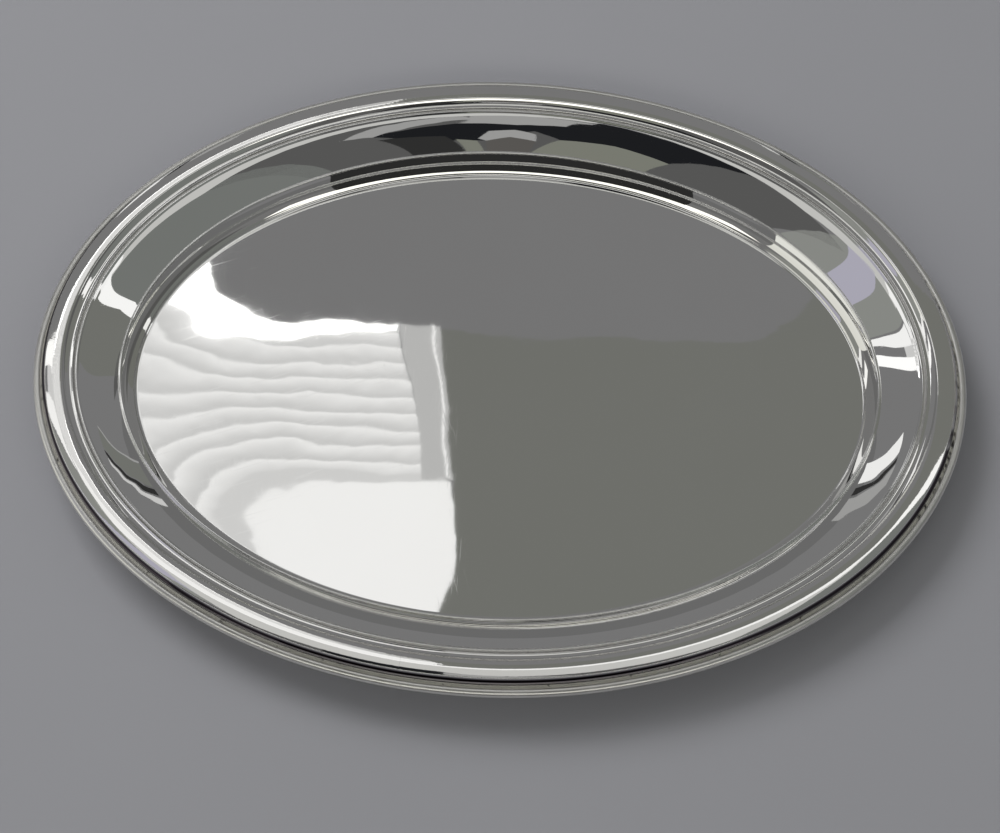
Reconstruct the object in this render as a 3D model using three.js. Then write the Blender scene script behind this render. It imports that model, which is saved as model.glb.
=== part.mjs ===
// Oval silver salver: a raised sheet dish with a stepped moulding wire and an edge wire soldered to its rim.
// Millimetres, +Z up. The origin is the middle of the flat underside; the long axis lies along X.
//
// Every section is drawn as points [w, z]: w is measured inward from the salver's outermost outline, square
// to it, and z is the height above the table. The same outline carries the sheet, the wires and the solder.
import * as THREE from 'three';

// Overall sizes.
const TRAY_LENGTH = 300;
const TRAY_WIDTH = 230.2;

// The sheet dish.
const SHEET = 1;                 // gauge of the sheet
const WELL_DEPTH = 8.6;          // well floor up to the crown of the bead at its mouth
const RIM_WIDTH = 30.5;          // outermost outline to the foot of the well wall
const WALL_LEAN = 2.9;           // the wall stands this far out at its top
const WALL_BULGE = 0.6;          // how far the wall swells into the well, past the straight line
const FOOT_RADIUS = 0.8;         // inside corner where the wall meets the floor
const BEAD_RADIUS = 0.5;         // fine roll at the well's mouth
const VALLEY_DROP = 0.45;        // crown of the bead down to the fine line where the border starts
const BORDER_RISE = 6.8;         // fine line up to the border's outer end
const BORDER_BULGE = 0.75;       // how far the border's section crowns above its straight chord
const SHOULDER_RUN = 0.9;        // last stretch of the border, which levels off
const SHOULDER_RISE = 0.35;
const SEAT_DEPTH = 1.3;          // ledge for the moulding, below the border's outer end

// The moulding wire.
const MOULDING_WIDTH = 9.6;
const OVOLO_CROWN = 2.7;         // crown of the broad round above the wire's flat underside
const COVE_WIDTH = 1.1;          // small hollow beside the edge wire
const COVE_HEIGHT = 0.9;         // top of the hollow's foot above the underside
const ARRIS_HEIGHT = 2.45;       // outer edge of the broad round above the underside
const CHANNEL_WIDTH = 3;         // hollow between the broad round and the border
const CHANNEL_DEPTH = 1.1;
const INNER_EDGE_HEIGHT = 1.2;   // thin inner edge above the underside

// The edge wire and the soldered joints.
const EDGE_WIRE = 3;             // diameter
const EDGE_DROP = 0.75;          // the wire hangs this far below the middle of the sheet's edge
const CLEARANCE = 0.3;           // between the solids of neighbouring pieces
const SOLDER = 0.4;              // thickness of a line of solder
const BUTT_GAP = 0.3;            // between the two ends of a wire
const BUTT_ANGLE = -99;          // degrees round from +X, where the wires' ends meet

// Fineness of the faceted solids.
const STATIONS = 72;
const ARC_STEPS = 4;

const RADIANS = Math.PI / 180;

// The outermost outline, an ellipse that starts and ends at the wires' butt joint.
class OutlineCurve extends THREE.Curve {
  constructor(inset = 0) {
    super();
    this.inset = inset;          // share of the turn left open at each end
    this.arcLengthDivisions = 2000;
  }

  angle(t) {
    return BUTT_ANGLE * RADIANS + 2 * Math.PI * (this.inset + t * (1 - 2 * this.inset));
  }

  getPoint(t, target = new THREE.Vector3()) {
    const angle = this.angle(t);
    return target.set(TRAY_LENGTH / 2 * Math.cos(angle), TRAY_WIDTH / 2 * Math.sin(angle), 0);
  }

  getTangent(t, target = new THREE.Vector3()) {
    const angle = this.angle(t);
    return target.set(-TRAY_LENGTH * Math.sin(angle), TRAY_WIDTH * Math.cos(angle), 0).normalize();
  }
}

// Points on an arc about [centreW, centreZ]; angles in degrees, 0 pointing inward and 90 pointing up.
function arc(centreW, centreZ, radius, from, to, steps = ARC_STEPS) {
  const points = [];
  for (let i = 0; i <= steps; i += 1) {
    const angle = (from + (to - from) * i / steps) * RADIANS;
    points.push([centreW + radius * Math.cos(angle), centreZ + radius * Math.sin(angle)]);
  }
  return points;
}

// Points from start to end on a shallow curve that crowns above (or dips below) the straight chord.
function crowned(start, end, crown, steps = ARC_STEPS) {
  const points = [];
  for (let i = 0; i <= steps; i += 1) {
    const t = i / steps;
    const lift = 4 * crown * t * (1 - t);
    points.push([start[0] + (end[0] - start[0]) * t, start[1] + (end[1] - start[1]) * t + lift]);
  }
  return points;
}

// A dish: the section is turned with a lathe, then each turn's points are moved onto the oval.
function ovalDish(section) {
  const outermost = TRAY_LENGTH / 2;
  const onAxis = (point) => point[0] === Infinity;
  const profile = section.map((point) => new THREE.Vector2(onAxis(point) ? 0 : outermost - point[0], point[1]));
  const geometry = new THREE.LatheGeometry(profile, STATIONS);
  const outline = new OutlineCurve();
  const position = geometry.attributes.position;
  for (let k = 0; k < position.count; k += 1) {
    const station = (STATIONS - Math.floor(k / section.length)) % STATIONS;
    const point = section[k % section.length];
    const edge = outline.getPointAt(station / STATIONS);
    const along = outline.getTangentAt(station / STATIONS);
    if (onAxis(point)) {
      position.setXYZ(k, 0, 0, point[1]);
    } else {
      position.setXYZ(k, edge.x - along.y * point[0], edge.y + along.x * point[0], point[1]);
    }
  }
  geometry.computeVertexNormals();
  return geometry;
}

// A wire bent round the outline, its two ends a small gap apart.
function ovalWire(section) {
  const shape = new THREE.Shape(section.map((point) => new THREE.Vector2(-point[1], point[0])));
  const fullLength = new OutlineCurve().getLength();
  const inset = BUTT_GAP / 2 / fullLength;
  return new THREE.ExtrudeGeometry(shape, { steps: STATIONS, extrudePath: new OutlineCurve(inset) });
}

function silver(color, roughness) {
  return new THREE.MeshStandardMaterial({ color, roughness, metalness: 1 });
}

function piece(name, geometry, material) {
  const mesh = new THREE.Mesh(geometry, material);
  mesh.name = name;
  return mesh;
}

// Places shared by the pieces, worked out from the sizes above.
const crownHeight = SHEET + WELL_DEPTH;
const beadMiddle = RIM_WIDTH - WALL_LEAN - BEAD_RADIUS;
const valley = [beadMiddle - BEAD_RADIUS, crownHeight - VALLEY_DROP];
const edgeOfSheet = EDGE_WIRE + CLEARANCE;
const mouldingOuter = edgeOfSheet;
const mouldingInner = mouldingOuter + MOULDING_WIDTH;
const stepInWidth = mouldingInner + 2 * CLEARANCE + SOLDER;
const borderTop = valley[1] + BORDER_RISE;
const seatTop = borderTop - SEAT_DEPTH;
const mouldingUnderside = seatTop + CLEARANCE;
const wireMiddle = seatTop - SHEET / 2 - EDGE_DROP;

// One sheet: flat floor, steep well wall, bead, crowned border and the ledge that the moulding sits on.
function dishBody() {
  const shoulder = [stepInWidth + SHOULDER_RUN, borderTop - SHOULDER_RISE];
  const slope = (shoulder[1] - valley[1]) / (valley[0] - shoulder[0]);
  const borderGauge = SHEET * Math.hypot(1, slope);
  const wallRise = WELL_DEPTH - BEAD_RADIUS - FOOT_RADIUS;
  const wallGauge = SHEET * Math.hypot(1, WALL_LEAN / wallRise);
  const footOutside = RIM_WIDTH - wallGauge;
  const wallPoint = (foot, t) => [
    foot - WALL_LEAN * t + 4 * WALL_BULGE * t * (1 - t),
    SHEET + FOOT_RADIUS + wallRise * t,
  ];
  const underValley = valley[1] - borderGauge;
  const cornerShare = (underValley - SHEET - FOOT_RADIUS) / wallRise;
  const wallOutside = wallPoint(footOutside, cornerShare)[0];
  const corner = [wallOutside, underValley - (wallOutside - valley[0]) * slope];
  const wallShares = [0.25, 0.5, 0.75];
  const top = [
    [Infinity, SHEET],
    ...arc(RIM_WIDTH + FOOT_RADIUS, SHEET + FOOT_RADIUS, FOOT_RADIUS, 270, 180),
    ...wallShares.map((t) => wallPoint(RIM_WIDTH, t)),
    ...arc(beadMiddle, crownHeight - BEAD_RADIUS, BEAD_RADIUS, 0, 126, 5),
    ...crowned(valley, shoulder, BORDER_BULGE, 5),
    ...crowned(shoulder, [stepInWidth, borderTop], SHOULDER_RISE / 2, 2).slice(1),
    [stepInWidth, seatTop],
    [edgeOfSheet, seatTop],
  ];
  const underside = [
    [edgeOfSheet, seatTop - SHEET],
    [stepInWidth + SHEET, seatTop - SHEET],
    ...crowned([stepInWidth + SHEET, shoulder[1] - borderGauge], corner, BORDER_BULGE, 5),
    ...wallShares.slice(0, 2).reverse().map((t) => wallPoint(footOutside, t)),
    ...arc(footOutside + FOOT_RADIUS + SHEET, FOOT_RADIUS + SHEET, FOOT_RADIUS + SHEET, 180, 270),
    [Infinity, 0],
  ];
  return piece('dish_body', ovalDish([...top, ...underside]), silver(0xc9c9c6, 0.08));
}

// The moulding wire, from the outside in: small hollow, broad round, channel and thin inner edge.
function rimMoulding() {
  const base = mouldingUnderside;
  const arris = [mouldingOuter + COVE_WIDTH, base + ARRIS_HEIGHT];
  const roundEnd = [mouldingInner - CHANNEL_WIDTH, base + ARRIS_HEIGHT];
  const innerEdge = [mouldingInner, base + INNER_EDGE_HEIGHT];
  const hollow = crowned([mouldingOuter, base + COVE_HEIGHT], arris, -(ARRIS_HEIGHT - COVE_HEIGHT) / 4, 3);
  const round = crowned(arris, roundEnd, OVOLO_CROWN - ARRIS_HEIGHT, 6);
  const channel = crowned(roundEnd, innerEdge, -CHANNEL_DEPTH / 2, 4);
  const section = [
    [mouldingOuter, base],
    ...hollow,
    ...round.slice(1),
    ...channel.slice(1),
    [mouldingInner, base],
  ];
  return piece('rim_moulding', ovalWire(section), silver(0xd0cfca, 0.1));
}

// The round wire that stiffens the sheet's edge and hangs a little below it.
function edgeWire() {
  const radius = EDGE_WIRE / 2;
  const section = arc(radius, wireMiddle, radius, 0, 360, 12).slice(0, -1);
  return piece('edge_wire', ovalWire(section), silver(0xcfcec9, 0.1));
}

// Solder between the moulding's inner edge and the border.
function innerSolderSeam() {
  const left = mouldingInner + CLEARANCE;
  const foot = seatTop + CLEARANCE;
  const head = borderTop - CLEARANCE;
  const section = [
    [left, foot],
    [left + SOLDER, foot],
    [left + SOLDER, head],
    [left, head],
  ];
  return piece('inner_solder_seam', ovalWire(section), silver(0xb9b8b2, 0.3));
}

// Solder in the notch between the edge wire and the moulding's outer foot.
function outerSolderSeam() {
  const inner = mouldingOuter - CLEARANCE;
  const outer = inner - SOLDER;
  const fromWireMiddle = outer - EDGE_WIRE / 2;
  const foot = wireMiddle + Math.sqrt((EDGE_WIRE / 2 + CLEARANCE) ** 2 - fromWireMiddle ** 2);
  const section = [
    [outer, foot],
    [inner, foot],
    [inner, foot + SOLDER],
    [outer, foot + SOLDER],
  ];
  return piece('outer_solder_seam', ovalWire(section), silver(0x8f8c86, 0.45));
}

const salver = new THREE.Group();
salver.add(dishBody(), rimMoulding(), edgeWire(), innerSolderSeam(), outerSolderSeam());

export default salver;
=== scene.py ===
"""An oval silver salver: a raised sheet dish with a stepped moulding and a round wire soldered to its rim.

Every CAD node is stood for by a finely swept piece of the same size and place. Sections are drawn in
millimetres as points [w, z]: w is measured inward from the outermost outline, square to it, and z is the
height above the table.
"""
import math

import bpy
import numpy as np
from mathutils import Matrix, Vector


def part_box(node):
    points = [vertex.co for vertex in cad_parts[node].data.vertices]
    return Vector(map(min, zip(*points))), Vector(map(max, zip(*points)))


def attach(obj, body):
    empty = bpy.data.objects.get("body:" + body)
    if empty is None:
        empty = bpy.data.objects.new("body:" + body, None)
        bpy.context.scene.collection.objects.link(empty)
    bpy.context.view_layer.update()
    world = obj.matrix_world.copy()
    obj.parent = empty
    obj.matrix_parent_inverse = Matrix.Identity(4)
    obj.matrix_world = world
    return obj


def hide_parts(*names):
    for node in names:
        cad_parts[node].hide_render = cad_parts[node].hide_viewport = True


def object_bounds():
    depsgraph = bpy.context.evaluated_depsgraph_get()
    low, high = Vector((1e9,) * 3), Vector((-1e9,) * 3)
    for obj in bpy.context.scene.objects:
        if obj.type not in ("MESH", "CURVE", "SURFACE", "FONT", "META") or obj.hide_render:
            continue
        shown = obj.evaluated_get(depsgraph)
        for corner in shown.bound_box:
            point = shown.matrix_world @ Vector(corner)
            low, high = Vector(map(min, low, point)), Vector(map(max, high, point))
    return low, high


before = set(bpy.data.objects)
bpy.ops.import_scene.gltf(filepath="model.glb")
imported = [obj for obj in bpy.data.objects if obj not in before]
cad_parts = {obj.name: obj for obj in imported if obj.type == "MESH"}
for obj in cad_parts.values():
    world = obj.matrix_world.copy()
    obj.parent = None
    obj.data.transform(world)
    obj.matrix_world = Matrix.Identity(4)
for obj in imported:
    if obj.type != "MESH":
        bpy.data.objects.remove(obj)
cad_low, cad_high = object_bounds()

MM = 0.001

# Fineness of the swept pieces.
STATIONS = 480
FINE_STEP = 0.03                 # along a section while its corners are softened, in millimetres
LONGEST_STEP = 1.4               # along a finished section, in millimetres
SHARPEST_TURN = 6.0              # between two steps of a finished section, in degrees
BLUR = 8                         # fine steps to either side over which a section's fineness is evened out

# Where the wires' ends meet, and how they are finished.
BUTT_ANGLE = -99.0
BUTT_GAP = 0.03
BUTT_ROUND = 0.02                # how far the rounding reaches along the wire
BUTT_RADIUS = 1.2                # about half a wire's thickness

# Sizes of the sections that the frame's boxes don't give.
SHEET = 1.0
SOLDER = 0.4
MOULDING_WIDTH = 9.6
FOOT_RADIUS = 0.8
WALL_LEAN = 2.9
WALL_BULGE = 0.6                 # how far the wall swells into the well
RIM_WIDTH = 30.5
WELL_MOUTH = 9.6                 # height of the bead's crown
BEAD_RADIUS = 0.5
BEAD_TURN = 126
VALLEY_DROP = 0.45
SHOULDER_RUN = 0.9
SHOULDER_RISE = 0.35
BORDER_BULGE = 0.75
COVE_WIDTH = 1.1
COVE_HEIGHT = 0.9
ARRIS_HEIGHT = 2.45
CHANNEL_WIDTH = 3.0
CHANNEL_DEPTH = 1.1
INNER_EDGE_HEIGHT = 1.2

# How softly polishing has rounded the corners, as radii.
TOP_EASE = 0.09
UNDERSIDE_EASE = 0.22
SOLDER_EASE = 0.05

# How neighbouring pieces meet.
HAIR = 0.02                      # left between the sheet and the wires
BITE = 0.1                       # how far a line of solder reaches into the piece beside it
SOLDER_DIP = 0.12                # how far the inner line of solder dips

# The real floor isn't dead flat: it lifts towards the wall, and hammering left low waves in it.
FLOOR_LIFT = 0.36
LIFT_STARTS = 0.6                # share of the way from the middle to the wall

# The border is rougher than the floor, most of all near the two front quarters of the oval.
BORDER_STARTS = 0.80             # share of the way from the middle to the outermost outline
BORDER_FADE = 0.04
ROUGH_X, ROUGH_Y = 112, -62      # middle of one rough quarter; the other lies opposite, across the short axis
ROUGH_LENGTH, ROUGH_WIDTH = 32, 30

# The notch beside the edge wire is filled where FILLED_X * x + FILLED_Y * y is over FILLED_FROM, with x and y
# as shares of half the salver's length and width.
FILLED_X, FILLED_Y, FILLED_FROM = 0.34, 0.94, 0.12
SOLDER_SINK = 0.12               # how far the solder sinks elsewhere
PIT_DEPTH = 0.25                 # deepest pit on the way from filled to sunk


# ---------------------------------------------------------------------------- places from the frame

def box_mm(node):
    """A CAD node's lowest and highest corner in millimetres."""
    low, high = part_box(node)
    return low / MM, high / MM


half_length = (cad_high.x - cad_low.x) / 2 / MM
half_width = (cad_high.y - cad_low.y) / 2 / MM
wire_low, wire_high = box_mm("edge_wire")
moulding_low, moulding_high = box_mm("rim_moulding")
inner_solder_high = box_mm("inner_solder_seam")[1]
dish_high = box_mm("dish_body")[1]

edge_wire_size = wire_high.z - wire_low.z
edge_wire_middle = (wire_high.z + wire_low.z) / 2
border_top = dish_high.z
moulding_foot = moulding_low.z
moulding_crown = moulding_high.z - moulding_foot
gap = half_length - dish_high.x - edge_wire_size     # between neighbouring CAD solids
seat_top = moulding_foot - gap
moulding_outer = edge_wire_size + gap
step_in = half_length - inner_solder_high.x + SOLDER + gap
channel_end = moulding_outer + MOULDING_WIDTH
sheet_edge = edge_wire_size + HAIR


# ----------------------------------------------------------------------------------------- sections

def arc(centre_w, centre_z, radius, start, end, steps=24):
    """Points on an arc; angles in degrees, 0 pointing inward and 90 pointing up."""
    angles = np.radians(np.linspace(start, end, steps + 1))
    return [(centre_w + radius * math.cos(a), centre_z + radius * math.sin(a)) for a in angles]


def crowned(start, end, crown, steps=32):
    """Points on a shallow curve that crowns above, or dips below, the straight line from start to end."""
    t = np.linspace(0, 1, steps + 1)
    w = start[0] + (end[0] - start[0]) * t
    z = start[1] + (end[1] - start[1]) * t + 4 * crown * t * (1 - t)
    return list(zip(w, z))


def resampled(points, step, closed):
    """The same line with points a small even step apart."""
    line = np.array(points + points[:1] if closed else points, float)
    length = np.concatenate([[0], np.cumsum(np.hypot(*np.diff(line, axis=0).T))])
    count = max(8, int(length[-1] / step))
    places = np.linspace(0, length[-1], count + 1)
    if closed:
        places = places[:-1]
    return np.column_stack([np.interp(places, length, line[:, k]) for k in (0, 1)])


def eased(points, radius, closed=False):
    """The section with its corners softened to about this radius, and few points where it is straight."""
    line = resampled(points, FINE_STEP, closed)
    reach = int(4 * radius / FINE_STEP)
    offsets = np.arange(-reach, reach + 1)
    weights = np.exp(-0.5 * (offsets * FINE_STEP / radius) ** 2)
    weights /= weights.sum()
    if closed:
        padded = np.vstack([line[-reach:], line, line[:reach]])
    else:
        before = 2 * line[0] - line[reach:0:-1]
        after = 2 * line[-1] - line[-2:-reach - 2:-1]
        padded = np.vstack([before, line, after])
    soft = np.column_stack([np.convolve(padded[:, k], weights, "valid") for k in (0, 1)])
    heading = np.unwrap(np.arctan2(*np.gradient(soft, axis=0).T[::-1]))
    effort = np.abs(np.gradient(heading)) / math.radians(SHARPEST_TURN) + FINE_STEP / LONGEST_STEP
    window = 2 * BLUR + 1
    effort = np.convolve(np.pad(effort, BLUR, mode="edge"), np.ones(window) / window, "valid")
    spent = np.concatenate([[0], np.cumsum((effort[1:] + effort[:-1]) / 2)])
    count = int(math.ceil(spent[-1]))
    picks = np.linspace(0, spent[-1], count + 1)
    if closed:
        picks = picks[:-1]
    return np.column_stack([np.interp(picks, spent, soft[:, k]) for k in (0, 1)])


def wall(foot, lift, share=1.0):
    """Points up the well's swelling wall from its foot; share is how much of its height to draw."""
    rise = WELL_MOUTH - BEAD_RADIUS - SHEET - FOOT_RADIUS - lift
    t = np.linspace(0, share, 24)[1:]
    w = foot - WALL_LEAN * t + 4 * WALL_BULGE * t * (1 - t)
    return list(zip(w, SHEET + FOOT_RADIUS + lift + rise * t))


valley = (RIM_WIDTH - WALL_LEAN - 2 * BEAD_RADIUS, WELL_MOUTH - VALLEY_DROP)
shoulder = (step_in + SHOULDER_RUN, border_top - SHOULDER_RISE)


def dish_top():
    """The sheet's upper face from the foot of the wall out to its edge."""
    bead_middle = RIM_WIDTH - WALL_LEAN - BEAD_RADIUS
    floor = SHEET + FLOOR_LIFT
    line = [
        *arc(RIM_WIDTH + FOOT_RADIUS, floor + FOOT_RADIUS, FOOT_RADIUS, 270, 180),
        *wall(RIM_WIDTH, FLOOR_LIFT)[:-1],
        *arc(bead_middle, WELL_MOUTH - BEAD_RADIUS, BEAD_RADIUS, 0, BEAD_TURN),
        *crowned(valley, shoulder, BORDER_BULGE),
        *crowned(shoulder, (step_in, border_top), SHOULDER_RISE / 2),
        (step_in, seat_top),
        (sheet_edge, seat_top),
    ]
    return eased(line, TOP_EASE)


def dish_underside():
    """The sheet's lower face, one gauge behind the upper one, from its edge in to the foot of the wall."""
    slope = (shoulder[1] - valley[1]) / (valley[0] - shoulder[0])
    gauge = SHEET * math.hypot(1, slope)
    rise = WELL_MOUTH - BEAD_RADIUS - SHEET - FOOT_RADIUS
    foot_outside = RIM_WIDTH - SHEET * math.hypot(1, WALL_LEAN / rise)
    under_valley = valley[1] - gauge
    outside = wall(foot_outside, FLOOR_LIFT, (under_valley - SHEET - FOOT_RADIUS) / rise)
    corner = (outside[-1][0], under_valley - (outside[-1][0] - valley[0]) * slope)
    bend = FOOT_RADIUS + SHEET
    line = [
        (sheet_edge, seat_top - SHEET),
        (step_in + SHEET, seat_top - SHEET),
        *crowned((step_in + SHEET, shoulder[1] - gauge), corner, BORDER_BULGE),
        *outside[-3::-1],
        *arc(foot_outside + bend, FLOOR_LIFT + bend, bend, 180, 270),
    ]
    return eased(line, UNDERSIDE_EASE)


def moulding_section():
    """Small hollow, broad round, channel and thin inner edge, over a flat underside."""
    base = seat_top + 0.01                 # all but touching the ledge
    inner = step_in - HAIR
    outer = edge_wire_size + HAIR + BITE
    arris = (moulding_outer + COVE_WIDTH, moulding_foot + ARRIS_HEIGHT)
    round_end = (channel_end - CHANNEL_WIDTH, moulding_foot + ARRIS_HEIGHT)
    inner_edge = (channel_end, moulding_foot + INNER_EDGE_HEIGHT)
    cove_depth = (ARRIS_HEIGHT - COVE_HEIGHT) / 5
    line = [
        (outer, base),
        (outer, base + COVE_HEIGHT),
        *crowned((outer, moulding_foot + COVE_HEIGHT), arris, -cove_depth)[1:],
        *crowned(arris, round_end, moulding_crown - ARRIS_HEIGHT)[1:],
        *crowned(round_end, inner_edge, -CHANNEL_DEPTH / 2)[1:],
        (inner, base + 0.25),              # the solder fills the corner above this
        (inner, base),
    ]
    return eased(line, TOP_EASE, closed=True)


def edge_wire_section():
    """The full circle of the round wire."""
    radius = edge_wire_size / 2
    return np.array(arc(radius, edge_wire_middle, radius, 0, 360, 48)[:-1])


def inner_solder_section():
    """A hollow fillet between the moulding's inner edge and the border's step."""
    foot = seat_top + BITE
    edge_top = moulding_foot + INNER_EDGE_HEIGHT
    step_side = step_in + BITE / 2
    dip_start = (channel_end + BITE, edge_top - SOLDER_DIP)
    dip_end = (step_side, border_top - BITE - SOLDER_DIP)
    line = [
        (channel_end - BITE, foot),
        (channel_end - BITE, edge_top - BITE),
        *crowned(dip_start, dip_end, -SOLDER_DIP),
        (step_side, foot),
    ]
    return eased(line, SOLDER_EASE, closed=True)


def outer_solder_section():
    """A fillet in the notch between the edge wire and the moulding's foot."""
    radius = edge_wire_size / 2
    inside_moulding = edge_wire_size + 2 * BITE
    # The fillet leaves the wire high on its inner shoulder; its hidden corner lies inside the wire.
    on_wire = (radius + 0.72 * radius, edge_wire_middle + 0.69 * radius)
    in_wire = (radius + 0.8 * radius, edge_wire_middle + 0.2 * radius)
    on_moulding = (inside_moulding, moulding_foot + 0.55)
    line = [
        in_wire,
        *crowned(on_wire, on_moulding, -BITE),
        (inside_moulding, seat_top - 3 * BITE),
    ]
    return eased(line, SOLDER_EASE, closed=True)


# ---------------------------------------------------------------------------------- sweeping pieces

class Outline:
    """Stations round the salver's outermost oval, evenly spaced, starting where the wires' ends meet."""

    def __init__(self, opening=0.0):
        """opening is the length left out between the last station and the first, in millimetres."""
        angles = np.radians(BUTT_ANGLE) + np.linspace(0, 2 * math.pi, 20001)
        edge = np.column_stack([half_length * np.cos(angles), half_width * np.sin(angles)])
        length = np.concatenate([[0], np.cumsum(np.hypot(*np.diff(edge, axis=0).T))])
        self.closed = opening == 0
        if self.closed:
            self.places = np.linspace(0, length[-1], STATIONS + 1)[:-1]
        else:
            self.places = np.linspace(opening / 2, length[-1] - opening / 2, STATIONS + 1)
        angle = np.interp(self.places, length, angles)
        self.edge = np.column_stack([half_length * np.cos(angle), half_width * np.sin(angle)])
        along = np.column_stack([-half_length * np.sin(angle), half_width * np.cos(angle)])
        along /= np.linalg.norm(along, axis=1)[:, None]
        self.inward = np.column_stack([-along[:, 1], along[:, 0]])

    def rings(self, section):
        """One ring of points for each point of the section, as an array [ring, station, xyz]."""
        w, z = section[:, 0], section[:, 1]
        flat = self.edge[None] + self.inward[None] * w[:, None, None]
        return np.concatenate([flat, np.broadcast_to(z[:, None, None], (*flat.shape[:2], 1))], axis=2)


def waves(x, y, wavelength, height, seed):
    """Low irregular waves over the plan, such as hammering and buffing leave."""
    rng = np.random.default_rng(seed)
    total = np.zeros_like(x)
    count = 28
    for heading, share, phase in zip(
        rng.uniform(0, 2 * math.pi, count), rng.uniform(0.7, 1.6, count), rng.uniform(0, 2 * math.pi, count)
    ):
        turn = 2 * math.pi / (wavelength * share)
        total += share * np.sin(turn * (x * math.cos(heading) + y * math.sin(heading)) + phase)
    return height * total / math.sqrt(count / 2)


def gradient_along_section(points, closed):
    """How the surface runs from ring to ring, allowing for uneven steps."""
    steps = np.linalg.norm(np.diff(points, axis=0), axis=2).mean(axis=1)
    if not closed:
        return np.gradient(points, np.concatenate([[0], np.cumsum(steps)]), axis=0)
    last = np.linalg.norm(points[0] - points[-1], axis=1).mean()
    steps = np.concatenate([[last], steps, [last]])
    wrapped = np.concatenate([points[-1:], points, points[:1]])
    return np.gradient(wrapped, np.concatenate([[0], np.cumsum(steps)]), axis=0)[1:-1]


def smooth_normals(points, closed_section, closed_outline):
    """Exact directions square to the swept surface."""
    if closed_outline:
        along = np.roll(points, -1, axis=1) - np.roll(points, 1, axis=1)
    else:
        along = np.gradient(points, axis=1)
    across = gradient_along_section(points, closed_section)
    normals = np.cross(along, across)
    return normals / np.linalg.norm(normals, axis=2)[..., None]


def enclosed(vertices, faces):
    """Volume inside the faces, negative if they point inward."""
    corners = np.array([(f[0], f[i], f[i + 1]) for f in faces for i in range(1, len(f) - 1)])
    a, b, c = (vertices[corners[:, k]] for k in range(3))
    return np.einsum("ij,ij->", a, np.cross(b, c)) / 6


def make_piece(name, vertices, faces, normals, finish, slot, *nodes, tarnish_and_shade=None):
    """A mesh object in metres that stands for its CAD nodes and rides with the salver.

    Where it is given, a share of tarnishing and painted shade for each vertex.
    """
    if enclosed(vertices, faces) < 0:
        faces = [face[::-1] for face in faces]
    facing = np.zeros_like(vertices)
    corners = np.array([face[:3] for face in faces])
    a, b, c = (vertices[corners[:, k]] for k in range(3))
    square = np.cross(b - a, c - a)
    np.add.at(facing, corners.ravel(), np.repeat(square, 3, axis=0))
    normals = normals * np.sign(np.einsum("ij,ij->i", facing, normals))[:, None]
    mesh = bpy.data.meshes.new(name)
    mesh.from_pydata((vertices * MM).tolist(), [], faces)
    mesh.polygons.foreach_set("use_smooth", [True] * len(mesh.polygons))
    mesh.materials.append(finish)
    mesh.update()
    mesh.normals_split_custom_set_from_vertices(normals.tolist())
    if tarnish_and_shade is not None:
        darkening = mesh.attributes.new("tarnish_and_shade", "FLOAT", "POINT")
        darkening.data.foreach_set("value", np.asarray(tarnish_and_shade, np.float32))
    piece = bpy.data.objects.new(name, mesh)
    bpy.context.scene.collection.objects.link(piece)
    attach(piece, "root")
    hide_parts(*nodes)
    return piece


def ring_faces(rings, stations, closed_section, closed_outline):
    """Four-sided faces between neighbouring rings and stations."""
    faces = []
    for r in range(rings if closed_section else rings - 1):
        here, above = r * stations, (r + 1) % rings * stations
        for k in range(stations if closed_outline else stations - 1):
            k2 = (k + 1) % stations
            faces.append((here + k, here + k2, above + k2, above + k))
    return faces


def swept_ring(name, section, shape_waves, finish, slot, *nodes):
    """A closed ring of one section."""
    outline = Outline()
    points = shape_waves(outline.rings(section), outline)
    count = points.shape[0]
    normals = smooth_normals(points, True, True)
    faces = ring_faces(count, STATIONS, True, True)
    return make_piece(name, points.reshape(-1, 3), faces, normals.reshape(-1, 3), finish, slot, *nodes)


def swept_wire(name, section, shape_waves, finish, slot, *nodes, tarnish_and_shade):
    """A wire bent round the outline, its softly rounded ends butted together.

    A share of tarnishing and painted shade is given for each point of the section.
    """
    outline = Outline(opening=BUTT_GAP)
    plain = outline.rings(section)
    points = shape_waves(plain, outline)
    middle = points.mean(axis=0)
    # The ends are rounded: each end's face is drawn in a little towards its middle.
    shrink = 1 - BUTT_ROUND / BUTT_RADIUS
    starts = middle[0] + (points[:, 0] - middle[0]) * shrink
    ends = middle[-1] + (points[:, -1] - middle[-1]) * shrink
    away = plain[:, 1] - plain[:, 0]
    tuck = BUTT_ROUND * away / np.linalg.norm(away, axis=1)[:, None]
    behind_start = points[:, :1] + tuck[:, None]
    body = np.concatenate([starts[:, None], behind_start, points[:, 1:], ends[:, None]], axis=1)
    count, stations = body.shape[:2]
    # The drawn-in faces keep the wire's own directions, so that the joint stays a hairline.
    normals = smooth_normals(points, True, False)
    normals = np.concatenate([normals[:, :1], normals, normals[:, -1:]], axis=1)
    faces = ring_faces(count, stations, True, False)
    faces.append(tuple(r * stations for r in range(count)))
    faces.append(tuple(r * stations + stations - 1 for r in reversed(range(count))))
    vertices, directions = body.reshape(-1, 3), normals.reshape(-1, 3)
    darkening = np.repeat(tarnish_and_shade, stations)
    return make_piece(name, vertices, faces, directions, finish, slot, *nodes, tarnish_and_shade=darkening)


# --------------------------------------------------------------------------------------- the pieces

def floor_lift(share):
    """How far the floor lifts at a share of the way from its middle to the wall."""
    return FLOOR_LIFT * (np.maximum(share - LIFT_STARTS, 0) / (1 - LIFT_STARTS)) ** 3


def floor_rings(foot_ring, height, shares):
    """Rings of the floor, drawn in towards the middle from the ring at the wall's foot."""
    rings = []
    for share in shares:
        ring = foot_ring * share
        ring[:, 2] = height + floor_lift(share)
        rings.append(ring)
    return np.array(rings)


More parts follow.
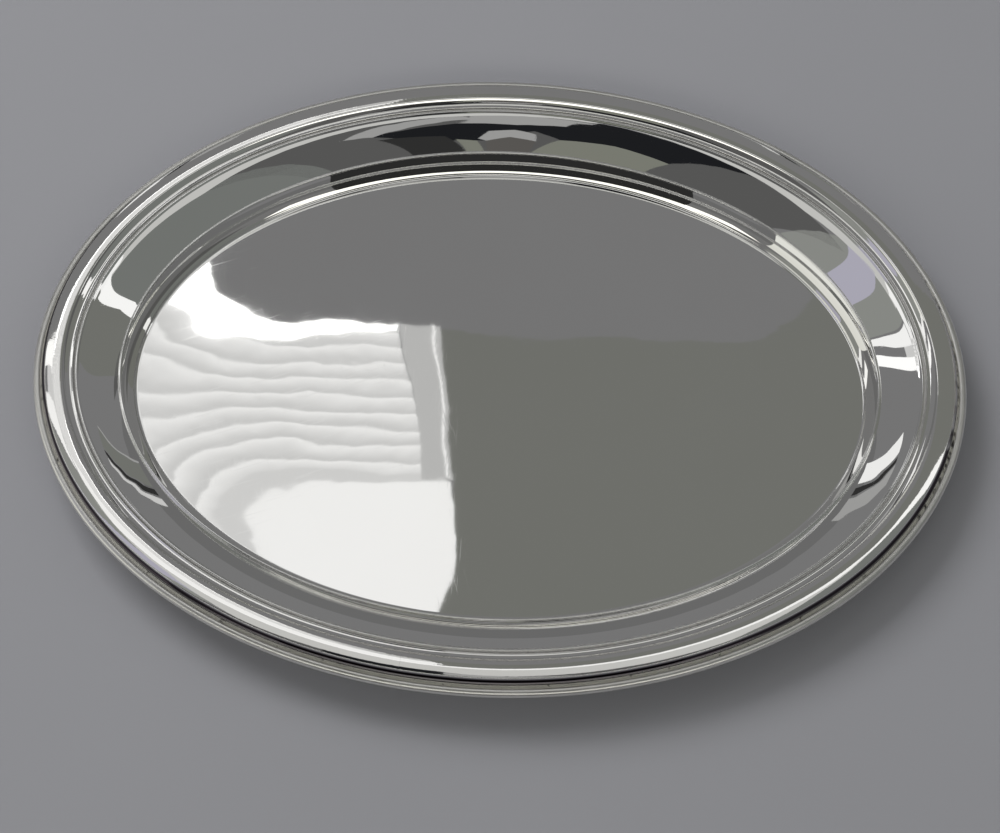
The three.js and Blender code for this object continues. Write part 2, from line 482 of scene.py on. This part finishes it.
def dish_waves(points):
    """Low hammer waves in the sheet."""
    x, y = points[..., 0], points[..., 1]
    points = points.copy()
    hammering = waves(x, y, wavelength=17, height=0.0016, seed=3)
    points[..., 2] += hammering + waves(x, y, wavelength=55, height=0.006, seed=8)
    points[..., 2] += waves(x, y, wavelength=5.5, height=0.00025, seed=14)
    share = np.hypot(x / half_length, y / half_width)
    on_border = np.clip((share - BORDER_STARTS) / BORDER_FADE, 0, 1)
    off_x, off_y = (np.abs(x) - ROUGH_X) / ROUGH_LENGTH, (y - ROUGH_Y) / ROUGH_WIDTH
    rough = 0.35 + np.exp(-off_x ** 2 - off_y ** 2)
    points[..., 2] += on_border * rough * waves(x, y, wavelength=7, height=0.0045, seed=21)
    return points


def dish_body(finish):
    """The sheet in one skin: floor, upper face, edge, lower face and the floor's underside."""
    outline = Outline()
    top = outline.rings(dish_top())
    under = outline.rings(dish_underside())
    shares = np.concatenate([np.linspace(1, 0.97, 8)[1:], np.linspace(0.97, 0.03, 62)[1:]])
    floor_top = floor_rings(top[0], SHEET, shares)[::-1]
    floor_under = floor_rings(under[-1], 0.0, shares)
    points = dish_waves(np.concatenate([floor_top, top, under, floor_under]))
    floor_places = slice(-len(shares), None)
    points[floor_places, :, 2] = np.maximum(points[floor_places, :, 2], 0)
    normals = smooth_normals(points, False, True)
    count = points.shape[0]
    faces = ring_faces(count, STATIONS, False, True)
    middles = np.array([[0, 0, points[0, :, 2].mean()], [0, 0, points[-1, :, 2].mean()]])
    first, last = count * STATIONS, count * STATIONS + 1
    for k in range(STATIONS):
        k2 = (k + 1) % STATIONS
        faces.append((first, k2, k))
        faces.append((last, (count - 1) * STATIONS + k, (count - 1) * STATIONS + k2))
    vertices = np.concatenate([points.reshape(-1, 3), middles])
    directions = np.concatenate([normals.reshape(-1, 3), [[0, 0, 1], [0, 0, -1]]])
    return make_piece("sheet_dish", vertices, faces, directions, finish, "polished_sheet", "dish_body")


def hollow_tarnish_and_shade(section):
    """Darkening in the moulding's small outer hollow: tarnishing, which a polishing cloth doesn't reach, and
    painted shade of the recess.

    It stops short of the arris, and a painted highlight lightens it along the hollow's outer edge.
    """
    w, z = section[:, 0], section[:, 1]
    film_end = moulding_outer + COVE_WIDTH - 0.1
    depth = np.clip((film_end - w) / 0.15, 0, 1)
    # A painted highlight: the darkening is lightened in a thin line along the hollow's outer edge.
    painted_highlight = np.exp(-((z - moulding_foot - COVE_HEIGHT) / 0.12) ** 2)
    return depth * (1 - 0.3 * painted_highlight)


def wire_waves(points, outline):
    """Slight unevenness of a drawn wire bent round by hand."""
    lift = waves(*outline.edge.T, wavelength=21, height=0.010, seed=5)
    sway = waves(*outline.edge.T, wavelength=30, height=0.008, seed=6)
    points = points.copy()
    points[..., 2] += lift[None]
    points[..., :2] += (outline.inward * sway[:, None])[None]
    return points


def even(points, outline):
    """A line of solder as it was filed, level all round."""
    return points


def notch_solder(points, outline):
    """Solder that fills the notch at the far and right sides and sinks into it at the near and left ones."""
    along_x, along_y = outline.edge[:, 0] / half_length, outline.edge[:, 1] / half_width
    filled = FILLED_X * along_x + FILLED_Y * along_y - FILLED_FROM
    sunk = np.clip(0.5 - 4 * filled, 0, 1)
    pits = np.clip(waves(*outline.edge.T, wavelength=4, height=0.7, seed=31), 0, 1)
    between = np.clip(1.2 - 2.5 * np.abs(filled), 0, 1)
    points = points.copy()
    points[..., 2] -= (SOLDER_SINK * sunk + PIT_DEPTH * pits * between)[None]
    return points


# ----------------------------------------------------------------------------------------- finishes

class Value:
    """A shader socket; arithmetic on it adds the Math nodes it needs."""

    def __init__(self, finish, socket):
        self.finish, self.socket = finish, socket

    def math(self, operation, *others):
        inputs = dict(enumerate((self, *others)))
        return self.finish.node("ShaderNodeMath", {"operation": operation}, inputs).out("Value")

    def __add__(self, other):
        return self.math("ADD", other)

    __radd__ = __add__

    def __mul__(self, other):
        return self.math("MULTIPLY", other)

    __rmul__ = __mul__

    def __sub__(self, other):
        return self.math("SUBTRACT", other)

    def __rsub__(self, other):
        return self.finish.constant_minus(other, self)

    def power(self, other):
        return self.math("POWER", other)

    def at_least(self, other):
        return self.math("MAXIMUM", other)

    def at_most(self, other):
        return self.math("MINIMUM", other)


class Node:
    """A node whose outputs are read as Values."""

    def __init__(self, finish, node):
        self.finish, self.node = finish, node

    def out(self, name):
        return Value(self.finish, self.node.outputs[name])


class Finish:
    """A node material with one Principled surface."""

    def __init__(self, name):
        self.material = bpy.data.materials.new(name)
        self.material.use_nodes = True
        self.tree = self.material.node_tree
        self.surface = self.tree.nodes["Principled BSDF"]

    def node(self, kind, settings=None, inputs=None):
        """Adds a node: its settings first, then a value or a link for each of its sockets."""
        made = self.tree.nodes.new(kind)
        for name, value in (settings or {}).items():
            setattr(made, name, value)
        for name, value in (inputs or {}).items():
            self.feed(made.inputs[name], value)
        return Node(self, made)

    def feed(self, socket, value):
        if isinstance(value, Value):
            self.tree.links.new(value.socket, socket)
        else:
            socket.default_value = value

    def constant_minus(self, number, value):
        return self.node("ShaderNodeMath", {"operation": "SUBTRACT"}, {0: number, 1: value}).out("Value")

    def set(self, **sockets):
        """Sets or links the surface's sockets, named with underscores for spaces."""
        for name, value in sockets.items():
            self.feed(self.surface.inputs[name.replace("_", " ")], value)

    def place(self, scale=(1, 1, 1), turn=0.0):
        """Object coordinates in metres, stretched and turned about Z."""
        coordinates = self.node("ShaderNodeTexCoord").out("Object")
        return self.node("ShaderNodeMapping", {"vector_type": "TEXTURE"}, {
            "Vector": coordinates, "Rotation": (0, 0, math.radians(turn)), "Scale": [1 / s for s in scale],
        }).out("Vector")

    def grain(self, scale, detail=2.0, roughness=0.5, stretch=(1, 1, 1), turn=0.0):
        """Noise from 0 to 1 with this many lumps to the metre."""
        return self.node("ShaderNodeTexNoise", {}, {
            "Vector": self.place(stretch, turn), "Scale": scale, "Detail": detail, "Roughness": roughness,
        }).out("Fac")

    def blend(self, share, first, second):
        """A colour between first and second."""
        return self.node("ShaderNodeMix", {"data_type": "RGBA"}, {0: share, 6: first, 7: second}).out(2)

    def relief(self, height, depth):
        """Bump of this depth in metres."""
        sockets = {"Height": height, "Distance": depth, "Strength": 1.0}
        return self.node("ShaderNodeBump", {}, sockets).out("Normal")

    def shine(self, colour, tone):
        """Puts plain emission in place of the Principled surface."""
        self.tree.nodes.remove(self.surface)
        light = self.node("ShaderNodeEmission", {}, {"Color": colour, "Strength": tone})
        output = self.tree.nodes["Material Output"]
        self.tree.links.new(light.node.outputs[0], output.inputs["Surface"])


def hairlines(finish, count, seed):
    """Fine straight scratches in several directions, 1 on a scratch and 0 elsewhere."""
    rng = np.random.default_rng(seed)
    lines = 0
    for turn in rng.uniform(0, 180, count):
        streak = finish.grain(1.0, 2, 0.6, (38, 3800, 38), float(turn))
        lines = ((streak - 0.66) * 8).at_least(0).at_most(1) + lines
    return lines.at_most(1)


def polished_sheet():
    """Hand-polished sterling silver: nearly a mirror, with hairlines and a polishing cloth's faint haze."""
    finish = Finish("polished_sheet")
    haze = finish.grain(22, 3, 0.6)
    lines = hairlines(finish, 3, seed=11)
    buffing = finish.grain(1.0, 3, 0.6, (60, 2400, 60), 78)
    finish.set(
        Metallic=1.0,
        Base_Color=finish.blend(haze, (0.90, 0.895, 0.875, 1), (0.93, 0.927, 0.91, 1)),
        Roughness=0.012 + haze * 0.012 + lines * 0.03,
        Normal=finish.relief(buffing * 0.6 + lines * 0.5, 4e-7),
    )
    return finish.material


def edge_silver():
    """The outer edge, dulled by years of handling: satin, with worn and brighter spots."""
    finish = Finish("edge_silver")
    wear = finish.grain(170, 4, 0.62)
    fine = finish.grain(900, 3, 0.6)
    finish.set(
        Metallic=1.0,
        Base_Color=finish.blend(wear, (0.80, 0.79, 0.74, 1), (0.95, 0.94, 0.91, 1)),
        Roughness=0.22 + wear * 0.22,
        Normal=finish.relief(wear + fine * 0.3, 1.5e-5),
    )
    return finish.material


def moulding_silver():
    """Drawn wire, polished after soldering: a little uneven, with dark tarnishing and painted shade in its
    hollow, lighter round the far and right sides where the notch is filled.
    """
    finish = Finish("moulding_silver")
    haze = finish.grain(60, 3, 0.6)
    dents = finish.grain(420, 2, 0.5)
    clean = finish.blend(haze, (0.90, 0.89, 0.865, 1), (0.93, 0.925, 0.905, 1))
    # The hollow's darkening: tarnishing and painted shade of the recess, lighter round the far and right
    # sides where the notch is filled.
    depth = finish.node("ShaderNodeAttribute", {"attribute_name": "tarnish_and_shade"}).out("Fac")
    darkening = depth * (1 - filled_side(finish) * 0.75)
    finish.set(
        Metallic=1.0,
        Base_Color=finish.blend(darkening, clean, (0.055, 0.045, 0.055, 1)),
        Roughness=0.02 + haze * 0.03,
        Normal=finish.relief(dents, 6e-6),
    )
    return finish.material


def bright_solder():
    """Solder filed flush beside the border: satin, with fine pits."""
    finish = Finish("solder")
    pits = finish.grain(900, 3, 0.6)
    finish.set(
        Metallic=1.0,
        Base_Color=finish.blend(pits, (0.45, 0.44, 0.42, 1), (0.78, 0.77, 0.74, 1)),
        Roughness=0.22 + pits * 0.2,
        Normal=finish.relief(pits, 4e-5),
    )
    return finish.material


def filled_side(finish):
    """1 round the far and right sides, where the notch is filled and the hollow's tarnishing and painted
    shade are lighter, and 0 round the others.
    """
    reach_x, reach_y = 0.150, 0.1156       # about half the salver's length and width, in metres
    place = finish.node("ShaderNodeSeparateXYZ", {}, {0: finish.place()})
    x, y = place.out("X") * (FILLED_X / reach_x), place.out("Y") * (FILLED_Y / reach_y)
    ragged = (finish.grain(160, 2, 0.5) - 0.5) * 0.9
    return ((x + y - FILLED_FROM + ragged) * 6).at_least(0).at_most(1)


def tarnished_solder():
    """Solder in the notch: satin silver with specks of dark tarnishing, and more dark specks towards the
    right-hand end as painted shade of the seam.
    """
    finish = Finish("tarnished_solder")
    place = finish.node("ShaderNodeSeparateXYZ", {}, {0: finish.place()})
    # Towards the right-hand end the dark specks thicken: painted shade of the seam.
    end = ((place.out("X") - 0.128) * 90).at_least(0).at_most(1)
    specks = ((finish.grain(340, 3, 0.6) - 0.60 + end * 0.13) * 9).at_least(0).at_most(1)
    finish.set(
        Metallic=0.9,
        Base_Color=finish.blend(specks, (0.74, 0.73, 0.68, 1), (0.04, 0.035, 0.035, 1)),
        Roughness=0.36,
        Normal=finish.relief(specks, 6e-5),
    )
    return finish.material


# ------------------------------------------------------------------------------- stage and lighting

CAMERA_DISTANCE = 0.6967
CAMERA_AZIMUTH = 4.19
CAMERA_ELEVATION = 59.2
CAMERA_ROLL = -0.81
CAMERA_AIM = Vector((0.00122, -0.01157, 0.0))
CAMERA_LENS = 76.5
CEILING = 1.8


def eye():
    """Where the camera stands."""
    azimuth, elevation = math.radians(CAMERA_AZIMUTH), math.radians(CAMERA_ELEVATION)
    level, height = CAMERA_DISTANCE * math.cos(elevation), CAMERA_DISTANCE * math.sin(elevation)
    return Vector((level * math.sin(azimuth), -level * math.cos(azimuth), height))


def make_camera():
    """The camera, looking down at the salver from over its near side."""
    data = bpy.data.cameras.new("camera")
    data.lens = CAMERA_LENS
    data.sensor_width = 36
    data.clip_start, data.clip_end = 0.05, 50
    camera = bpy.data.objects.new("camera", data)
    look = (CAMERA_AIM - eye()).normalized()
    turned = look.to_track_quat("-Z", "Y").to_matrix() @ Matrix.Rotation(math.radians(CAMERA_ROLL), 3, "Z")
    camera.matrix_world = Matrix.Translation(eye()) @ turned.to_4x4()
    bpy.context.scene.collection.objects.link(camera)
    bpy.context.scene.camera = camera


def glow(name, tone, tint=(1, 1, 1)):
    """Evenly lit cloth or card."""
    finish = Finish(name)
    finish.shine((*tint, 1), tone)
    return finish.material


def blind_cloth(name, top, pitch, bright, dim):
    """A pleated blind lit from behind: each pleat is bright along its upper edge and dims below it."""
    finish = Finish(name)
    coordinates = finish.node("ShaderNodeTexCoord").out("Object")
    across = finish.node("ShaderNodeSeparateXYZ", {}, {0: coordinates}).out("Y")
    fall = ((top - across) * (1 / pitch)).math("FRACT")
    finish.shine((1, 1, 1, 1), bright - fall.power(0.7) * (bright - dim))
    return finish.material


def card(name, corners, material):
    """A flat card on the stage with these corners."""
    mesh = bpy.data.meshes.new(name)
    mesh.from_pydata([tuple(c) for c in corners], [], [tuple(range(len(corners)))])
    mesh.materials.append(material)
    made = bpy.data.objects.new(name, mesh)
    bpy.context.scene.collection.objects.link(made)
    return made


def overhead(name, corners, material, layer=1):
    """A card hung level above the table; corners in metres, each layer a little below the one before."""
    return card(name, [(x, y, CEILING - 0.004 * layer) for x, y in corners], material)


def standing(name, azimuths, heights, material, distance=2.3):
    """An upright card beyond the salver, between two azimuths in degrees, 0 being straight ahead."""
    places = [(distance * math.sin(math.radians(a)), distance * math.cos(math.radians(a))) for a in azimuths]
    (x0, y0), (x1, y1) = places
    low, high = heights
    return card(name, [(x0, y0, low), (x1, y1, low), (x1, y1, high), (x0, y0, high)], material)


def table():
    """The plain matt surface that the salver lies on."""
    finish = Finish("table")
    mottle = finish.grain(6, 3, 0.5)
    finish.set(
        Base_Color=finish.blend(mottle, (0.455, 0.457, 0.49, 1), (0.48, 0.482, 0.515, 1)),
        Roughness=0.75,
        Normal=finish.relief(finish.grain(900, 3, 0.6), 2e-5),
    )
    size = 6
    corners = [(-size, -size, 0), (size, -size, 0), (size, size, 0), (-size, size, 0)]
    made = card("table", corners, finish.material)
    made.location.z = -0.0001              # a hair below the sheet, so that the two never share a face


def hang_window():
    """The big soft window on the left: glass above a pleated blind, its frame, and a white sill below."""
    top, foot = 1.146, 0.930
    blind = blind_cloth("blind", top=1.111, pitch=0.0240, bright=0.98, dim=0.58)
    overhead("window_glass", [(-0.218, top), (-0.7, top), (-0.7, 1.07), (-0.218, 1.138)],
             glow("bare_glass", 2.2), 3)
    overhead("blind", [(-0.218, top), (-0.7, top), (-0.7, foot), (-0.164, foot)], blind, 2)
    overhead("window_frame", [(-0.216, top), (-0.160, top), (-0.126, 0.918), (-0.162, 0.918)],
             glow("frame", 0.5), 3)
    overhead("frame_edge", [(-0.172, top), (-0.168, top), (-0.130, 0.918), (-0.134, 0.918)],
             glow("edge", 0.95), 4)
    overhead("sill", [(-0.7, 0.905), (-0.130, 0.918), (-0.110, 0.819),
                      (-0.126, 0.755), (-0.126, 0.70), (-0.7, 0.70)], glow("sill", 0.93), 2)
    overhead("sill_shade", [(-0.7, foot), (-0.164, foot), (-0.130, 0.918), (-0.7, 0.905)],
             glow("sill_shade", 0.66), 2)
    overhead("side_window", [(-0.72, 1.10), (-4.2, 1.86), (-4.2, 1.45), (-0.72, 1.02)],
             glow("side_window", 1.1), 2)
    overhead("side_sill", [(-0.72, 0.94), (-4.2, 1.12), (-4.2, 0.92), (-0.72, 0.80)],
             glow("side_sill", 0.95), 2)


def hang_top_light():
    """A long white strip over the salver and a soft cloth nearer the camera, just off the floor's view."""
    overhead("long_strip", [(-0.126, 0.70), (0.50, 0.80), (0.50, 0.62),
                            (-0.126, 0.60), (-0.7, 0.62), (-0.7, 0.70)], glow("long_strip", 0.95), 3)
    overhead("top_cloth", [(-0.75, 0.70), (0.55, 0.70), (0.45, 0.16),
                           (-0.05, 0.12), (-0.15, 0.20), (-0.55, 0.16)],
             glow("top_cloth", 0.56, (1.0, 1.0, 0.98)), 2)


def hang_right_side():
    """Softer things on the right: a lit strip, a darker screen beyond it and a pale one before it."""
    overhead("right_strip", [(0.50, 0.83), (1.8, 0.86), (3.2, 1.12), (3.2, 0.82), (2.4, 0.66), (0.50, 0.70)],
             glow("right_strip", 1.0), 2)
    overhead("dark_screen", [(-0.165, 1.146), (-0.126, 0.918), (-0.11, 0.62), (0.5, 0.76),
                             (3.6, 0.9), (3.9, 3.5), (0.60, 1.30), (0.34, 1.146)],
             glow("dark_screen", 0.175, (0.98, 1.0, 0.93)))
    overhead("far_right_shade", [(3.2, -2.5), (6.0, -2.5), (6.0, 4.0), (3.2, 4.0)],
             glow("far_right_shade", 0.10))
    overhead("pale_screen", [(0.42, 0.76), (3.2, 0.66), (3.2, -1.8), (0.9, -1.6), (0.30, 0.3)],
             glow("pale_screen", 0.185, (0.95, 1.0, 0.96)))


def hang_left_side():
    """A soft screen on the left, and a violet cloth hung below it."""
    overhead("left_screen", [(-0.72, 0.78), (-4.2, 0.86), (-4.2, -1.8), (-1.9, -1.2), (-0.5, 0.4)],
             glow("left_screen", 0.27, (0.97, 1.0, 0.95)))
    overhead("violet_cloth", [(-0.60, 0.52), (-2.9, 0.02), (-2.3, -0.5), (-0.62, 0.34)],
             glow("violet_cloth", 0.46, (0.92, 0.90, 1.08)), 2)


def hang_dark_flags():
    """Dark flags and small pale cards round the camera."""
    dark = glow("flag", 0.014, (0.9, 0.95, 1.1))
    deep = glow("deep_flag", 0.03)
    pale = glow("pale_card", 0.34)
    mid = glow("mid_card", 0.10, (1.05, 1.0, 0.95))
    olive = glow("olive_card", 0.21, (0.97, 1.0, 0.86))
    overhead("flag_back", [(-0.9, 0.17), (-0.55, 0.16), (0.45, 0.16), (1.1, -1.7), (-2.0, -1.7)],
             glow("flag_back", 0.10))
    overhead("left_flag", [(-0.36, 0.17), (-0.13, 0.19), (-0.11, -0.5),
                           (-0.20, -0.75), (-0.33, -0.62), (-0.55, -0.7)], dark, 2)
    overhead("olive_card", [(-0.55, -0.7), (-0.33, -0.62), (-0.20, -0.75), (-0.14, -1.7), (-0.8, -1.7)],
             olive, 3)
    overhead("upper_card", [(-0.13, 0.15), (-0.02, 0.12), (0.02, -0.20), (-0.07, -0.27), (-0.14, -0.16)],
             pale, 3)
    overhead("middle_flag", [(-0.13, -0.15), (0.02, -0.2), (0.22, -0.32),
                             (0.24, -0.85), (0.02, -0.95), (-0.12, -0.45)], dark, 2)
    overhead("slanted_card", [(-0.01, 0.13), (0.11, 0.02), (0.24, -0.20),
                              (0.22, -0.34), (0.06, -0.13), (-0.01, -0.02)], pale, 4)
    overhead("low_card", [(-0.12, -0.62), (-0.07, -0.48), (-0.01, -0.55),
                          (0.04, -0.85), (0.02, -0.95), (-0.14, -0.9)], pale, 4)
    overhead("mid_card", [(-0.14, -0.9), (-0.06, -0.78), (0.02, -0.95), (0.05, -1.7), (-0.16, -1.7)],
             mid, 5)
    overhead("right_flag", [(0.12, -0.7), (0.26, -0.5), (0.42, -1.7), (0.14, -1.7)], deep, 3)
    overhead("right_card", [(0.05, -0.95), (0.11, -0.85), (0.14, -1.7), (0.05, -1.7)], olive, 3)


def stand_near_side():
    """A dark wall behind the camera, mirrored by the well's wall, and pale cloths above and beside it."""
    standing("back_wall", (150, 214), (0.03, 1.25), glow("back_wall", 0.025))
    overhead("near_cloth", [(-2.4, -1.72), (2.0, -1.72), (2.6, -3.0), (-3.0, -3.0)],
             glow("near_cloth", 1.5, (1.0, 0.99, 0.94)), 2)
    overhead("left_gap", [(-0.705, 0.90), (-1.15, 0.90), (-1.15, 1.12), (-0.705, 1.12)],
             glow("left_gap", 0.62), 1)
    standing("left_wall", (-125, -75), (0.02, 1.1), glow("left_wall", 0.8, (1.0, 1.0, 0.95)))


def stand_far_side():
    """Upright strips beyond the far side: window light and its frames."""
    bright, dark = glow("far_light", 0.9), glow("far_dark", 0.03)
    middle = glow("far_middle", 0.35)
    span = (0.40, CEILING - 0.03)
    standing("far_left_light", (-33, -28), span, bright)
    standing("far_left_dark", (-27, -25.5), span, dark)
    standing("far_left_grey", (-25, -21), span, middle)
    standing("far_right_dark", (16, 17.2), span, dark)
    standing("far_right_grey", (17.6, 22), span, glow("far_right_grey", 0.18, (0.97, 1.0, 0.93)))
    standing("far_right_edge", (22.1, 22.6), span, middle)
    standing("far_right_light", (14.4, 15.6), span, glow("far_right_light", 0.6))


def build_stage():
    """The room round the salver: table, ceiling, window, cards and one soft lamp."""
    world = bpy.data.worlds.new("studio")
    bpy.context.scene.world = world
    world.use_nodes = True
    world.node_tree.nodes["Background"].inputs["Color"].default_value = (0.15, 0.15, 0.152, 1)
    table()
    overhead("ceiling", [(-6, -6), (6, -6), (6, 6), (-6, 6)], glow("ceiling", 0.19, (1, 1, 1.02)), 0)
    hang_window()
    hang_top_light()
    hang_right_side()
    hang_left_side()
    hang_dark_flags()
    stand_far_side()
    stand_near_side()
    light = bpy.data.lights.new("window_light", "AREA")
    light.shape = "RECTANGLE"
    light.size, light.size_y = 1.2, 1.0
    light.energy = 14
    lamp = bpy.data.objects.new("window_light", light)
    lamp.location = (-1.0, 0.9, 1.5)
    lamp.rotation_euler = (-lamp.location).to_track_quat("-Z", "Y").to_euler()
    lamp.visible_glossy = False
    bpy.context.scene.collection.objects.link(lamp)


# ----------------------------------------------------------------------------------------- assembly

scene = bpy.context.scene
scene.view_settings.view_transform = "Standard"
make_camera()
build_stage()
dish_body(polished_sheet())
moulding_line, edge_line = moulding_section(), edge_wire_section()
swept_wire("rim_moulding_wire", moulding_line, wire_waves, moulding_silver(), "moulding_silver",
           "rim_moulding", tarnish_and_shade=hollow_tarnish_and_shade(moulding_line))
swept_wire("round_edge_wire", edge_line, wire_waves, edge_silver(), "edge_silver", "edge_wire",
           tarnish_and_shade=np.zeros(len(edge_line)))
swept_ring("inner_solder_line", inner_solder_section(), even, bright_solder(), "solder", "inner_solder_seam")
swept_ring("outer_solder_line", outer_solder_section(), notch_solder, tarnished_solder(), "tarnished_solder",
           "outer_solder_seam")
